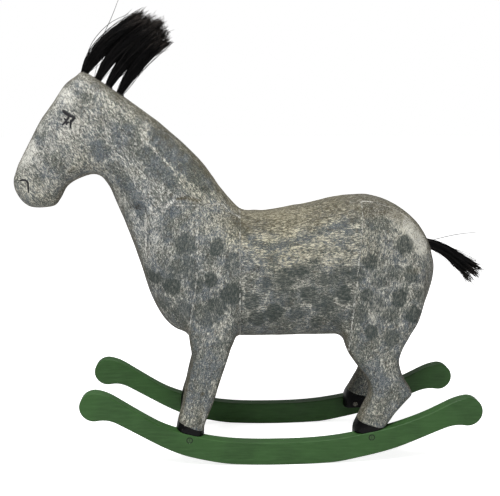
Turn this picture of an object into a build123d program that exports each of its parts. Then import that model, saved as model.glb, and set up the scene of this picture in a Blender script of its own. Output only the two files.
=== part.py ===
from build123d import *
import math
import os

os.makedirs("parts", exist_ok=True)

# ------------------------------------------------------------------ driving dimensions, mm
# +Z is up and the floor is at Z = 0. The horse looks along -X, so its left side is -Y.
# Outlines are given from the middle of the rockers, which lies at rocker_x.
rocker_x = 29.6
side_sign = {"left": -1, "right": 1}

# Rockers: two boards on edge, with paddle-shaped ends. The front ends sweep up higher.
stance = 144.0            # outer face to outer face
rocker_thickness = 15.0
rocker_radius = 1000.0    # underside, nearly flat in the middle
rocker_height = 28.0      # in the middle
rocker_flat_half = 55.0   # half length of the stretch that follows rocker_radius
paddle_x = 222.0          # centre of a paddle's round end, from the middle
paddle_z = {1: 62.5, -1: 75.5}      # rear and front
paddle_radius = 17.4
paddle_lean = math.radians(10.0)
rocker_softening = 1.2    # worn edges

# Horse: a middle board, with thicker wood glued to its sides.
core_half = 28.0          # half thickness of the middle board, and of the neck
barrel_half = 56.0        # half width of the barrel
shoulder_half = 52.0
back_z = 300.0
belly_z = 146.0
tall = 400.0              # more than any piece needs, for the outlines that trim it
front_seam_x = -50.0      # barrel against the shoulders
shoulder_seam_x = -106.0  # shoulder boards against the front legs
shoulder_front_x = -161.0
shoulder_foot_z = 150.0
shoulder_top_z = 310.0
rear_seam = [(95.0, 316.0), (80.0, belly_z)]      # barrel against the haunches
muzzle_x = -300.0         # where the muzzle's round front begins
head_half = 23.0
muzzle_half = 18.0
barrel_rounding = 40.0

# Hooves: each leg ends in a lap joint over its rocker.
hoof_inner_y = 38.0
hoof_top_z = 45.0
lap_depth = 13.0          # how far the tongue hangs inside the rocker
hoof_x = {"front": -111.0, "rear": 106.0}
lap_top = {"front": 39.5, "rear": 39.3}     # the rocker's top face under each hoof

# Rocker screws: slotted countersunk machine screws in small round sleeve nuts.
screw_radius = 2.0
screw_head_radius = 3.9
screw_head_depth = 2.2
slot_width = 1.0
slot_depth = 0.9
screw_below_top = 6.5
screw_past_nut = 4.0
nut_radius = 3.0
nut_length = 12.0

# Mane and tail: bristle tufts, bound with twine and glued in drilled sockets.
tuft_radius = 4.2
whipping_radius = 4.9
socket_depth = 14.0
whipping_proud = 2.0
mane_roots = [(-230.5, 459.5), (-217.0, 452.0), (-204.0, 443.9), (-190.8, 435.2)]
mane_tips = [(-165.0, 524.0), (-153.0, 514.0), (-142.0, 503.0), (-130.0, 492.0)]
mane_lean = 32.0          # degrees the sockets lean back from upright
tail_root = (185.5, 250.0)
tail_drop = 6.0           # degrees the tail's socket points below level

# Dowels.
dowel_radius = 5.0
neck_dowel_depth = 25.0   # into each piece
neck_dowel_z = (165.0, 228.0)
cross_dowel_half = core_half + 16.0
cross_dowel_x = {"front": -78.0, "rear": 128.0}
cross_dowel_z = {"front": (190.0, 265.0), "rear": (185.0, 265.0)}


def side_plane(y):
    """The plane of a side view at depth y, measured from the middle of the rockers."""
    return Plane(origin=(rocker_x, y, 0), x_dir=(1, 0, 0), z_dir=(0, -1, 0))


def front_plane(x):
    """The plane of a front view at x from the middle of the rockers, with local x along +Y."""
    return Plane(origin=(rocker_x + x, 0, 0), x_dir=(0, 1, 0), z_dir=(1, 0, 0))


# The plane of a plan view, at the belly's level.
plan_plane = Plane(origin=(rocker_x, 0, belly_z))


def finish(piece, name):
    """Name a finished piece and write it."""
    piece.part.label = name
    export_step(piece.part, f"parts/{name}.step")


# ------------------------------------------------------------------ rockers
rocker_half = stance / 2
# Points of the rocker's underside and top, between the middle and the paddles, as (x, z).
under_points = {
    1: [(85.0, 6.2), (116.0, 13.2), (140.0, 20.5), (164.0, 30.0), (189.0, 40.5)],
    -1: [(-90.0, 6.8), (-122.0, 15.6), (-146.0, 26.5), (-169.0, 39.5), (-190.0, 51.5)],
}
top_points = {
    1: [
        (40.0, 29.3),
        (70.0, 32.5),
        (105.0, 39.0),
        (131.0, 45.0),
        (155.0, 53.0),
        (178.0, 62.5),
        (198.0, 72.5),
    ],
    -1: [
        (-40.0, 28.6),
        (-70.0, 31.0),
        (-111.0, 39.5),
        (-146.0, 52.0),
        (-170.0, 66.0),
        (-194.0, 81.5),
    ],
}


def rocker_board(inner_y):
    """A raw rocker board, one thickness deep from inner_y towards -Y."""
    arc_end = rocker_flat_half
    arc_drop = math.sqrt(rocker_radius**2 - arc_end**2)
    arc_rise = rocker_radius - arc_drop
    arc_slope = arc_end / arc_drop
    end_x = paddle_x - paddle_radius * math.sin(paddle_lean)
    end_rise = paddle_radius * math.cos(paddle_lean)
    with BuildPart() as board:
        with BuildSketch(side_plane(inner_y)):
            with BuildLine():
                ThreePointArc((-arc_end, arc_rise), (0, 0), (arc_end, arc_rise))
                for side in (1, -1):
                    Spline(
                        (side * arc_end, arc_rise),
                        *under_points[side],
                        (side * end_x, paddle_z[side] - end_rise),
                        tangents=[
                            (side, arc_slope),
                            (side * math.cos(paddle_lean), -math.sin(paddle_lean)),
                        ],
                    )
                    ThreePointArc(
                        (side * end_x, paddle_z[side] - end_rise),
                        (side * (paddle_x + paddle_radius), paddle_z[side]),
                        (side * end_x, paddle_z[side] + end_rise),
                    )
                    Spline(
                        (0, rocker_height),
                        *top_points[side],
                        (side * end_x, paddle_z[side] + end_rise),
                        tangents=[
                            (side, 0),
                            (side * math.cos(paddle_lean), math.sin(paddle_lean)),
                        ],
                    )
            make_face()
        extrude(amount=rocker_thickness)
    return board.part


screw_z = {end: lap_top[end] - screw_below_top for end in hoof_x}
countersink_angle = 2 * math.degrees(
    math.atan((screw_head_radius - screw_radius) / screw_head_depth)
)
raw_boards = {
    "left": rocker_board(-rocker_half + rocker_thickness),
    "right": rocker_board(rocker_half),
}

for side, sign in side_sign.items():
    with BuildPart() as rocker:
        add(raw_boards[side])
        fillet(rocker.faces().filter_by(Axis.Y).edges(), rocker_softening)
        for end, x in hoof_x.items():
            outer = Plane(
                origin=(rocker_x + x, sign * rocker_half, screw_z[end]), z_dir=(0, sign, 0)
            )
            with Locations(outer):
                CounterSinkHole(
                    radius=screw_radius,
                    counter_sink_radius=screw_head_radius,
                    depth=rocker_thickness,
                    counter_sink_angle=countersink_angle,
                )
    finish(rocker, f"rocker_{side}")

# ------------------------------------------------------------------ dowels and sockets
def rod(start, along, radius, length):
    """A round rod that runs from start in the direction along."""
    with BuildPart() as shape:
        with BuildSketch(Plane(origin=start, z_dir=along)):
            Circle(radius)
        extrude(amount=length)
    return shape.part


lean = math.radians(mane_lean)
mane_axis = (math.sin(lean), 0, math.cos(lean))
drop = math.radians(tail_drop)
tail_axis = (math.cos(drop), 0, -math.sin(drop))


def tuft_start(root, axis):
    """The bottom of the socket whose mouth is at root."""
    return (
        rocker_x + root[0] - axis[0] * socket_depth,
        0,
        root[1] - axis[2] * socket_depth,
    )


mane_starts = [tuft_start(root, mane_axis) for root in mane_roots]
tail_start = tuft_start(tail_root, tail_axis)

with BuildPart() as neck_dowels:
    for z in neck_dowel_z:
        start = (rocker_x + front_seam_x - neck_dowel_depth, 0, z)
        add(rod(start, (1, 0, 0), dowel_radius, 2 * neck_dowel_depth))
finish(neck_dowels, "neck_dowels")

cross_dowels = {}
for end, x in cross_dowel_x.items():
    with BuildPart() as dowels:
        for z in cross_dowel_z[end]:
            start = (rocker_x + x, -cross_dowel_half, z)
            add(rod(start, (0, 1, 0), dowel_radius, 2 * cross_dowel_half))
    cross_dowels[end] = dowels.part
    finish(dowels, f"{end}_leg_dowels")

# ------------------------------------------------------------------ neck and head
with BuildPart() as neck_and_head:
    with BuildSketch(side_plane(core_half)):
        with BuildLine():
            crest = Spline(
                (-239.5, 457.0),
                (-230.5, 460.5),
                (-204.0, 445.0),
                (-167.0, 419.0),
                (-132.0, 391.5),
                (-97.0, 358.0),
                (-73.0, 326.0),
                (front_seam_x, back_z),
            )
            Line(crest @ 1, (front_seam_x, belly_z))
            Line((front_seam_x, belly_z), (-112.0, belly_z + 1.0))
            chest = Spline(
                (-112.0, belly_z + 1.0),
                (-138.0, 161.0),
                (-156.0, 192.0),
                (-174.0, 248.0),
                (-190.5, 294.0),
                (-205.0, 328.0),
                (-219.0, 342.0),
            )
            jaw = Spline(
                chest @ 1,
                (-240.0, 337.5),
                (-256.0, 328.0),
                (-266.0, 312.0),
                (-281.0, 303.0),
                (-299.0, 304.0),
                (-313.5, 316.5),
                (-318.5, 333.0),
            )
            Spline(
                jaw @ 1,
                (-311.5, 353.0),
                (-288.0, 397.0),
                (-271.0, 422.0),
                (-254.0, 446.0),
                crest @ 0,
            )
        make_face()
    extrude(amount=2 * core_half)
    # In plan the head narrows to the muzzle, which is blunt and round.
    with BuildSketch(plan_plane):
        with BuildLine():
            Polyline(
                (muzzle_x, -muzzle_half),
                (-262.0, -head_half),
                (-225.0, -head_half),
                (-170.0, -core_half),
                (front_seam_x, -core_half),
                (front_seam_x, core_half),
                (-170.0, core_half),
                (-225.0, head_half),
                (-262.0, head_half),
                (muzzle_x, muzzle_half),
            )
            ThreePointArc(
                (muzzle_x, muzzle_half),
                (-319.0, 0),
                (muzzle_x, -muzzle_half),
            )
        make_face()
    extrude(amount=tall, mode=Mode.INTERSECT)
    for start in mane_starts:
        add(rod(start, mane_axis, whipping_radius, 2 * socket_depth), mode=Mode.SUBTRACT)
    add(neck_dowels.part, mode=Mode.SUBTRACT)
    add(cross_dowels["front"], mode=Mode.SUBTRACT)
finish(neck_and_head, "neck_and_head")

# ------------------------------------------------------------------ barrel, with the rump's core
# The rump's outline from the top of the rear seam to just above the haunch's fold.
rump_points = [
    rear_seam[0],
    (112.0, 315.0),
    (136.0, 306.5),
    (161.0, 289.0),
    (179.0, 264.0),
    (186.5, 240.0),
    (187.5, 222.0),
    (184.0, 203.0),
    (176.0, 182.0),
]
with BuildPart() as body_block:
    with BuildSketch(side_plane(barrel_half)):
        with BuildLine():
            back = Spline(
                (front_seam_x, back_z),
                (-12.0, 298.0),
                (30.0, 305.5),
                (65.0, 313.5),
                rear_seam[0],
            )
            Line(back @ 1, rear_seam[1])
            Line(rear_seam[1], (front_seam_x, belly_z))
            Line((front_seam_x, belly_z), back @ 0)
        make_face()
    extrude(amount=2 * barrel_half)
    # In front view the barrel is a rounded oblong.
    with BuildSketch(front_plane(front_seam_x)):
        with Locations((0, (belly_z + rear_seam[0][1]) / 2)):
            RectangleRounded(2 * barrel_half, rear_seam[0][1] - belly_z + 1.0, barrel_rounding)
    extrude(amount=2 * rear_seam[0][0], mode=Mode.INTERSECT)
    with BuildSketch(side_plane(core_half)):
        with BuildLine():
            Polyline(rear_seam[0], rear_seam[1], (150.0, belly_z))
            Spline(*rump_points, (164.0, 162.0), (150.0, belly_z))
        make_face()
    extrude(amount=2 * core_half)
    add(neck_dowels.part, mode=Mode.SUBTRACT)
    add(cross_dowels["rear"], mode=Mode.SUBTRACT)
    add(rod(tail_start, tail_axis, whipping_radius, 2 * socket_depth), mode=Mode.SUBTRACT)
finish(body_block, "body_block")

# ------------------------------------------------------------------ shoulders and legs, by side
screw_reach = rocker_thickness + nut_length + screw_past_nut
screws = {}
nuts = {}
for side, sign in side_sign.items():
    for end, x in hoof_x.items():
        head_at = (rocker_x + x, sign * rocker_half, screw_z[end])
        inward = Plane(origin=head_at, z_dir=(0, -sign, 0))
        with BuildPart() as screw:
            with BuildSketch(inward):
                Circle(screw_head_radius)
            with BuildSketch(inward.offset(screw_head_depth)):
                Circle(screw_radius)
            loft()
            with BuildSketch(inward.offset(screw_head_depth)):
                Circle(screw_radius)
            extrude(amount=screw_reach - screw_head_depth)
            with BuildSketch(inward):
                Rectangle(3 * screw_head_radius, slot_width)
            extrude(amount=slot_depth, mode=Mode.SUBTRACT)
        screws[side, end] = screw.part
        finish(screw, f"screw_{end}_{side}")

        nut_start = (head_at[0], sign * (hoof_inner_y + nut_length), head_at[2])
        with BuildPart() as nut:
            add(rod(nut_start, (0, -sign, 0), nut_radius, nut_length))
            add(screw.part, mode=Mode.SUBTRACT)
        nuts[side, end] = nut.part
        finish(nut, f"sleeve_nut_{end}_{side}")

for side, sign in side_sign.items():
    # The shoulder board fills out the chest in front of the leg.
    with BuildPart() as shoulder:
        with BuildSketch(side_plane(sign * core_half)):
            with BuildLine():
                Polyline(
                    (shoulder_seam_x, shoulder_foot_z),
                    (shoulder_seam_x, shoulder_top_z),
                    (-138.0, 308.0),
                    (shoulder_front_x, 290.0),
                    (shoulder_front_x, 215.0),
                )
                Spline(
                    (shoulder_front_x, 215.0),
                    (-154.0, 192.0),
                    (-137.0, 164.0),
                    (shoulder_seam_x, shoulder_foot_z),
                )
            make_face()
        extrude(amount=-sign * (shoulder_half - core_half))
        # In plan its front is bevelled towards the neck.
        with BuildSketch(plan_plane):
            with BuildLine():
                Polyline(
                    (shoulder_front_x, sign * core_half),
                    (shoulder_seam_x, sign * core_half),
                    (shoulder_seam_x, sign * shoulder_half),
                    (-135.0, sign * (shoulder_half - 5.0)),
                    (shoulder_front_x, sign * (core_half + 9.0)),
                    (shoulder_front_x, sign * core_half),
                )
            make_face()
        extrude(amount=tall, mode=Mode.INTERSECT)
        # In front view its top is feathered out to the neck's sides.
        with BuildSketch(front_plane(shoulder_front_x)):
            with BuildLine():
                Polyline(
                    (sign * core_half, shoulder_top_z),
                    (sign * core_half, belly_z),
                    (sign * shoulder_half, belly_z),
                    (sign * shoulder_half, 255.0),
                )
                ThreePointArc(
                    (sign * shoulder_half, 255.0),
                    (sign * (shoulder_half - 8.0), 288.0),
                    (sign * core_half, shoulder_top_z),
                )
            make_face()
        extrude(amount=tall, mode=Mode.INTERSECT)
    finish(shoulder, f"shoulder_{side}")

# Each leg is sawn to a side view, then to a front view, and lapped over its rocker.
tongue_z = {end: lap_top[end] - lap_depth for end in hoof_x}
for side, sign in side_sign.items():
    with BuildPart() as leg_front:
        with BuildSketch(side_plane(sign * core_half)):
            with BuildLine():
                Polyline(
                    (shoulder_seam_x, shoulder_foot_z),
                    (shoulder_seam_x, shoulder_top_z),
                    (-80.0, shoulder_top_z),
                    (front_seam_x, back_z),
                    (front_seam_x, 152.0),
                )
                heel = Spline(
                    (front_seam_x, 152.0),
                    (-60.0, 140.0),
                    (-68.0, 116.0),
                    (-79.0, 84.0),
                    (-92.0, 52.0),
                    (-94.5, 40.0),
                )
                Line(heel @ 1, (-94.5, tongue_z["front"]))
                Line((-94.5, tongue_z["front"]), (-128.0, tongue_z["front"]))
                Line((-128.0, tongue_z["front"]), (-128.0, 40.0))
                Spline(
                    (-128.0, 40.0),
                    (-124.5, 58.0),
                    (-118.0, 86.0),
                    (-111.5, 112.0),
                    (-109.0, 130.0),
                    (shoulder_seam_x, shoulder_foot_z),
                )
            make_face()
        extrude(amount=-sign * (rocker_half - core_half))
        with BuildSketch(front_plane(shoulder_front_x)):
            with BuildLine():
                Polyline(
                    (sign * core_half, shoulder_top_z),
                    (sign * core_half, 160.0),
                    (sign * 31.0, 142.0),
                    (sign * 37.0, 80.0),
                    (sign * hoof_inner_y, hoof_top_z),
                    (sign * hoof_inner_y, 0.0),
                    (sign * rocker_half, 0.0),
                    (sign * rocker_half, hoof_top_z),
                    (sign * 67.0, 70.0),
                    (sign * 60.0, 130.0),
                    (sign * barrel_half, 185.0),
                    (sign * barrel_half, 270.0),
                )
                ThreePointArc(
                    (sign * barrel_half, 270.0),
                    (sign * (barrel_half - 9.0), 298.0),
                    (sign * core_half, shoulder_top_z),
                )
            make_face()
        extrude(amount=tall, mode=Mode.INTERSECT)
        add(raw_boards[side], mode=Mode.SUBTRACT)
        add(cross_dowels["front"], mode=Mode.SUBTRACT)
        add(screws[side, "front"], mode=Mode.SUBTRACT)
        add(nuts[side, "front"], mode=Mode.SUBTRACT)
    finish(leg_front, f"leg_front_{side}")

    with BuildPart() as leg_rear:
        with BuildSketch(side_plane(sign * core_half)):
            with BuildLine():
                rump = Spline(
                    *rump_points,
                    (163.0, 160.0),
                    (150.0, 138.0),
                    (143.0, 118.0),
                    (149.0, 100.0),
                    (156.5, 84.0),
                    (148.0, 72.0),
                    (136.0, 57.0),
                    (124.0, 42.0),
                )
                Polyline(
                    rump @ 1,
                    (122.0, tongue_z["rear"]),
                    (88.0, tongue_z["rear"]),
                    (86.0, 40.0),
                )
                Spline(
                    (86.0, 40.0),
                    (94.5, 56.0),
                    (103.0, 74.0),
                    (105.5, 92.0),
                    (96.0, 106.0),
                    (86.0, 122.0),
                    rear_seam[1],
                )
                Line(rear_seam[1], rear_seam[0])
            make_face()
        extrude(amount=-sign * (rocker_half - core_half))
        with BuildSketch(front_plane(0)):
            with BuildLine():
                Polyline(
                    (sign * core_half, rear_seam[0][1]),
                    (sign * core_half, 150.0),
                    (sign * 32.0, 132.0),
                    (sign * 37.0, 80.0),
                    (sign * hoof_inner_y, hoof_top_z),
                    (sign * hoof_inner_y, 0.0),
                    (sign * rocker_half, 0.0),
                    (sign * rocker_half, hoof_top_z),
                    (sign * 66.0, 70.0),
                    (sign * 60.0, 130.0),
                    (sign * barrel_half, 185.0),
                    (sign * barrel_half, 275.0),
                )
                ThreePointArc(
                    (sign * barrel_half, 275.0),
                    (sign * (barrel_half - 10.0), 304.0),
                    (sign * core_half, rear_seam[0][1]),
                )
            make_face()
        extrude(amount=tall, mode=Mode.INTERSECT)
        add(raw_boards[side], mode=Mode.SUBTRACT)
        add(cross_dowels["rear"], mode=Mode.SUBTRACT)
        add(screws[side, "rear"], mode=Mode.SUBTRACT)
        add(nuts[side, "rear"], mode=Mode.SUBTRACT)
    finish(leg_rear, f"leg_rear_{side}")

# ------------------------------------------------------------------ bristle mane and tail
bound_length = socket_depth + whipping_proud
# Each tuft's path is in side view points, with its half width across Y and half depth there.
mane_spread = [(8.0, 6.2), (11.0, 7.0), (13.0, 7.2)]
tail_path = [(212.0, 242.0), (228.0, 231.0), (243.0, 222.5), (256.5, 217.5)]
tail_spread = [(6.5, 6.5), (8.0, 7.5), (9.5, 8.5), (10.5, 8.0)]


def mane_path(root, tip):
    """Side view points from near a mane tuft's root to its tip, first upright, then bent back."""
    run = tip[0] - root[0]
    rise = tip[1] - root[1]
    return [
        (root[0] + 0.38 * run - 2.0, root[1] + 0.50 * rise),
        (root[0] + 0.72 * run, root[1] + 0.82 * rise),
        tip,
    ]


def bristle_tuft(start, axis, path, spread):
    """A bound root in its socket, then a fan of bristle through path."""
    mouth = tuple(start[i] + axis[i] * bound_length for i in range(3))
    stations = [mouth] + [(rocker_x + x, 0, z) for x, z in path]
    with BuildPart() as tuft:
        add(rod(start, axis, tuft_radius, bound_length))
        with BuildSketch(Plane(origin=mouth, x_dir=(0, 1, 0), z_dir=axis)):
            Ellipse(tuft_radius, tuft_radius)
        for i in range(1, len(stations)):
            before = stations[i - 1]
            after = stations[min(i + 1, len(stations) - 1)]
            heading = (after[0] - before[0], 0, after[2] - before[2])
            with BuildSketch(Plane(origin=stations[i], x_dir=(0, 1, 0), z_dir=heading)):
                Ellipse(*spread[i - 1])
        loft()
    return tuft.part


def whipping(start, axis):
    """The twine sleeve round a tuft's root."""
    with BuildPart() as sleeve:
        add(rod(start, axis, whipping_radius, bound_length))
        add(rod(start, axis, tuft_radius, bound_length), mode=Mode.SUBTRACT)
    return sleeve.part


for i, (root, tip) in enumerate(zip(mane_roots, mane_tips)):
    with BuildPart() as mane_tuft:
        add(bristle_tuft(mane_starts[i], mane_axis, mane_path(root, tip), mane_spread))
    finish(mane_tuft, f"mane_tuft_{i + 1}")
    with BuildPart() as mane_whipping:
        add(whipping(mane_starts[i], mane_axis))
    finish(mane_whipping, f"mane_whipping_{i + 1}")

with BuildPart() as tail_tuft:
    add(bristle_tuft(tail_start, tail_axis, tail_path, tail_spread))
finish(tail_tuft, "tail_tuft")
with BuildPart() as tail_whipping:
    add(whipping(tail_start, tail_axis))
finish(tail_whipping, "tail_whipping")
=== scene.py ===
import math
from itertools import product

import bpy
import numpy as np
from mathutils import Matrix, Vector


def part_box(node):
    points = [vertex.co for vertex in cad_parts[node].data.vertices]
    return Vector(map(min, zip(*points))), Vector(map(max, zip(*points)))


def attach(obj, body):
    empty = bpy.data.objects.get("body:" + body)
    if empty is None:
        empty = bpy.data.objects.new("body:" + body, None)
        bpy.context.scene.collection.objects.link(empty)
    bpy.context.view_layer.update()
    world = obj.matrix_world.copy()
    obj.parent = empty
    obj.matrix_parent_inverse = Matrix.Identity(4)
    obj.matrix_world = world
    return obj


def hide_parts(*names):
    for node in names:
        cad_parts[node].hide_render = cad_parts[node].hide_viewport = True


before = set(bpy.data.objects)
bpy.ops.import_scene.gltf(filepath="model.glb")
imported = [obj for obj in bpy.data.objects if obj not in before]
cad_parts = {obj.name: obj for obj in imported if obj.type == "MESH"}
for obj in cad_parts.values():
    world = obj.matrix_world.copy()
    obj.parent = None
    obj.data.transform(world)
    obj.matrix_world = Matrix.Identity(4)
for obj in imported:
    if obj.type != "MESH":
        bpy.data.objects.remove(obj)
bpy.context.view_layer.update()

import openvdb as vdb
from mathutils import Matrix, Vector

# ------------ driving sizes, mm
# Outlines are side views, (x, z), with x from the middle of the rockers. The horse looks along -X.
MM = 0.001
rocker_lo, rocker_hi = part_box("rocker_left")
MIDDLE_X = 500.0 * (rocker_lo[0] + rocker_hi[0])  # row-frame x of the rockers' middle
STANCE_HALF = -1000.0 * rocker_lo[1]  # outer face of a rocker
ROCKER_INNER = -1000.0 * rocker_hi[1]  # inner face of a rocker
ROCKER_MIDDLE = 0.5 * (STANCE_HALF + ROCKER_INNER)

VOXEL = 1.35  # the carving grid's cell
GRID_X, GRID_Y, GRID_Z = (-326.0, 196.0), (-79.0, 79.1), (20.0, 468.0)

# The glued-up boards.
CORE_HALF = 28.0  # half thickness of the neck board and of the core
FRONT_SEAM_X = -50.0  # the neck and front leg boards end here, the barrel starts
SHOULDER_SEAM = ((-113.0, 146.0), (-101.0, 225.0))  # behind a shoulder board; plumb above its end
SHOULDER_FRONT_X = -161.0
SHOULDER_TOP_Z = 309.0
SHOULDER_BEND_X = -138.0  # ahead of this the shoulder board's top slopes down
SHOULDER_FALL = 0.75  # how steeply
REAR_SEAM = ((95.0, 316.0), (80.0, 146.0))  # in front of a rear leg board
SEAM_LAP = 0.55  # neighbouring boards are drawn this much into each other
SEAM_ROUND = 0.7  # their edges are rounded over this

# The carving.
SWELL = 0.5  # the outline below is drawn this much inside the wood
TRUNK_POWER = 2.25  # how square a section is: 2 is an ellipse
LEG_POWER = 2.6
LEG_ROUNDING = 15.0
LEG_FILLET = 12.0  # where a leg joins the body
LUMP_DEPTH, LUMP_SIZE = 0.55, 26.0  # unevenness left by the rasp
KNIFE_DEPTH, KNIFE_SIZE = 0.26, 9.0  # and by the knife
FACET_X, FACET_Y, FACET_Z = -141.0, 47.0, 276.0  # the flat pared off a shoulder's front corner
FACET_HALF = 28.0  # its half height
FAR_SHIFT = {"front": 2.5, "rear": 6.0}  # the right legs stand a little further back

# The hooves.
HOOF_INNER = 38.0  # inner side of a hoof
HOOF_TOP = 44.0  # the hoof's flat inner side ends here
HOOF_FLUSH = 0.2  # a hoof lies this much behind the rocker's outer face
TONGUE_Z = 26.5  # lower end of the tongue that hangs inside a rocker
HOOF_BANDS = ((-123.9, 53.9, -0.396), (85.0, 53.1, -0.29))  # top of the black: x, z, slope

# The bristle.
HAIRS_PER_LOCK = 14  # in the mane
TAIL_LOCKS = 9
TAIL_SEED = 9
HAIR_RADII = (0.22, 0.38)
STRAY_RADIUS = 0.42
GATHER = (0.0, 0.2, 0.5, 0.9)  # how far hairs keep to their lock at each point of a tuft
JITTER = (0.03, 0.13, 0.16, 0.13)  # and how far they wander, of the tuft's opening there

# ------------ camera, light and floor
CAMERA_PLACE = (-83.7, -967.1, 417.5)  # mm
CAMERA_TURN = (9.76, 2.79, 0.1)  # degrees down, to the right and rolled
SENSOR, LENS = 36.0, 57.6  # mm
FLOOR_HALF = 12.0  # m
WORLD_LIGHT = 0.22  # how much light comes from all round
FLOOR_GLOW = 0.82  # added to the floor where the camera sees it, so that it is near white
# Lamps: (name, place and target in mm, size in m, watts).
LAMPS = (
    ("overhead", (-60, -150, 1500), (-30, 0, 200), 1.1, 2.0),
    ("back", (-100, 1200, 1500), (-30, 0, 220), 1.2, 3.5),
    ("front", (-300, -850, 1850), (-30, 0, 220), 0.8, 43.0),
)

# ------------ colours, linear RGB
WHITE = (1.0, 1.0, 1.0, 1.0)
FLOOR_PAINT = (0.9, 0.9, 0.9, 1.0)
SLATE_GREEN = (0.072, 0.082, 0.074)
SLATE_BLUE = (0.088, 0.106, 0.122)
DARK_SLATE = (0.027, 0.036, 0.034)
CREAM_COOL = (0.66, 0.655, 0.61)
CREAM_WARM = (0.6, 0.56, 0.41)
CHALK = (0.72, 0.71, 0.66)
GRIME = (0.06, 0.052, 0.04)
OLIVE = (0.068, 0.057, 0.032)
HOOF_BLACK = (0.0025, 0.0025, 0.003)
GREEN = (0.034, 0.09, 0.024)
SCREW_GREEN = (0.042, 0.088, 0.032)
# Dark for the painted shade round a screw head's rim.
SCREW_RIM_SHADE = (0.006, 0.01, 0.005)
RUBBED = (0.3, 0.27, 0.18)
STEEL, TARNISH = (0.2, 0.19, 0.17), (0.05, 0.04, 0.03)
TWINE_DEEP, TWINE_WAX, TWINE_FUZZ = (0.004, 0.004, 0.004), (0.03, 0.026, 0.022), (0.1, 0.085, 0.07)
HAIR_BLACK, HAIR_BROWN = (0.0012, 0.0012, 0.0014), (0.012, 0.0105, 0.01)
HAIR_ENDS = (0.12, 0.1, 0.085)
STROKE_BLACK, STROKE_GREY = (0.006, 0.006, 0.008), (0.045, 0.047, 0.05)
BIRCH_PALE, BIRCH_DARK = (0.62, 0.46, 0.28), (0.4, 0.27, 0.15)

# ------------ brushing
GRAIN_CONTRAST = 9.0  # how hard the fine grain breaks the paint up
SWIPE_CONTRAST = 1.5  # and the broad swipes of the brush
FAR_DRIFT = 9.0  # the far side's pattern wanders this far from the near side's, mm
# Which way the paint is dragged, in degrees up from +X in the side view, and how far drawn out.
BRUSHING = {"neck": (-58.0, 2.8), "barrel": (2.0, 3.2), "upright": (84.0, 2.5)}


def row(x, y, z):
    """A point in the script's millimetres as a point of the row frame, in metres."""
    return Vector(((x + MIDDLE_X) * MM, y * MM, z * MM))


def make_camera():
    """A camera in front of the horse's left side, a little ahead of its chest and at head height."""
    data = bpy.data.cameras.new("camera")
    data.sensor_fit = "HORIZONTAL"
    data.sensor_width = SENSOR
    data.lens = LENS
    camera = bpy.data.objects.new("camera", data)
    bpy.context.collection.objects.link(camera)
    pitch, yaw, roll = (math.radians(a) for a in CAMERA_TURN)
    ahead = math.cos(pitch)
    forward = Vector((math.sin(yaw) * ahead, math.cos(yaw) * ahead, -math.sin(pitch)))
    level = Vector((math.cos(yaw), -math.sin(yaw), 0.0))
    up = level.cross(forward)
    right = level * math.cos(roll) + up * math.sin(roll)
    up = right.cross(forward)
    turn = Matrix((right, up, -forward)).transposed()
    camera.matrix_world = Matrix.Translation(row(*CAMERA_PLACE)) @ turn.to_4x4()
    bpy.context.scene.camera = camera


def area_light(name, place, target, size, power):
    """A soft square lamp at place, facing target, both in mm."""
    data = bpy.data.lights.new(name, "AREA")
    data.shape = "SQUARE"
    data.size = size
    data.energy = power
    lamp = bpy.data.objects.new(name, data)
    lamp.location = row(*place)
    aim = row(*target) - lamp.location
    lamp.rotation_euler = aim.to_track_quat("-Z", "Y").to_euler()
    bpy.context.collection.objects.link(lamp)


def make_stage():
    """A white floor, white light from all round, and the lamps."""
    mesh = bpy.data.meshes.new("floor")
    corners = [(x * FLOOR_HALF, y * FLOOR_HALF, 0) for x, y in ((-1, -1), (1, -1), (1, 1), (-1, 1))]
    mesh.from_pydata(corners, [], [(0, 1, 2, 3)])
    floor = bpy.data.objects.new("floor", mesh)
    bpy.context.collection.objects.link(floor)
    paint = Paint("floor")
    seen = paint.node("LightPath", {}, "Is Camera Ray")
    mesh.materials.append(
        paint.finish(
            Base_Color=FLOOR_PAINT,
            Roughness=0.9,
            Specular_IOR_Level=0.1,
            Emission_Color=WHITE,
            Emission_Strength=paint.times(seen, FLOOR_GLOW),
        )
    )

    world = bpy.data.worlds.new("world")
    world.use_nodes = True
    nodes = world.node_tree
    seen = nodes.nodes.new("ShaderNodeLightPath").outputs["Is Camera Ray"]
    strength = nodes.nodes.new("ShaderNodeMapRange")
    strength.inputs["To Min"].default_value = WORLD_LIGHT
    nodes.links.new(seen, strength.inputs["Value"])
    nodes.links.new(strength.outputs[0], nodes.nodes["Background"].inputs["Strength"])
    nodes.nodes["Background"].inputs["Color"].default_value = WHITE
    bpy.context.scene.world = world
    for lamp in LAMPS:
        area_light(*lamp)
    bpy.context.scene.view_settings.view_transform = "Standard"


# ------------ carving: fields on a grid
def smooth_line(points, steps=10):
    """Points of an open Catmull-Rom curve through the given points, both ends included."""
    p = np.array([points[0], *points, points[-1]], float)
    t = np.linspace(0.0, 1.0, steps, endpoint=False)[:, None]
    out = []
    for a, b, c, d in zip(p[:-3], p[1:-2], p[2:-1], p[3:]):
        square, cube = 2 * a - 5 * b + 4 * c - d, 3 * b - a - 3 * c + d
        out.append(0.5 * (2 * b + (c - a) * t + square * t**2 + cube * t**3))
    out.append(p[-1:])
    return np.concatenate(out)


def unit(vectors):
    """The same directions at length 1, along the last axis."""
    return vectors / np.linalg.norm(vectors, axis=-1, keepdims=True)


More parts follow.
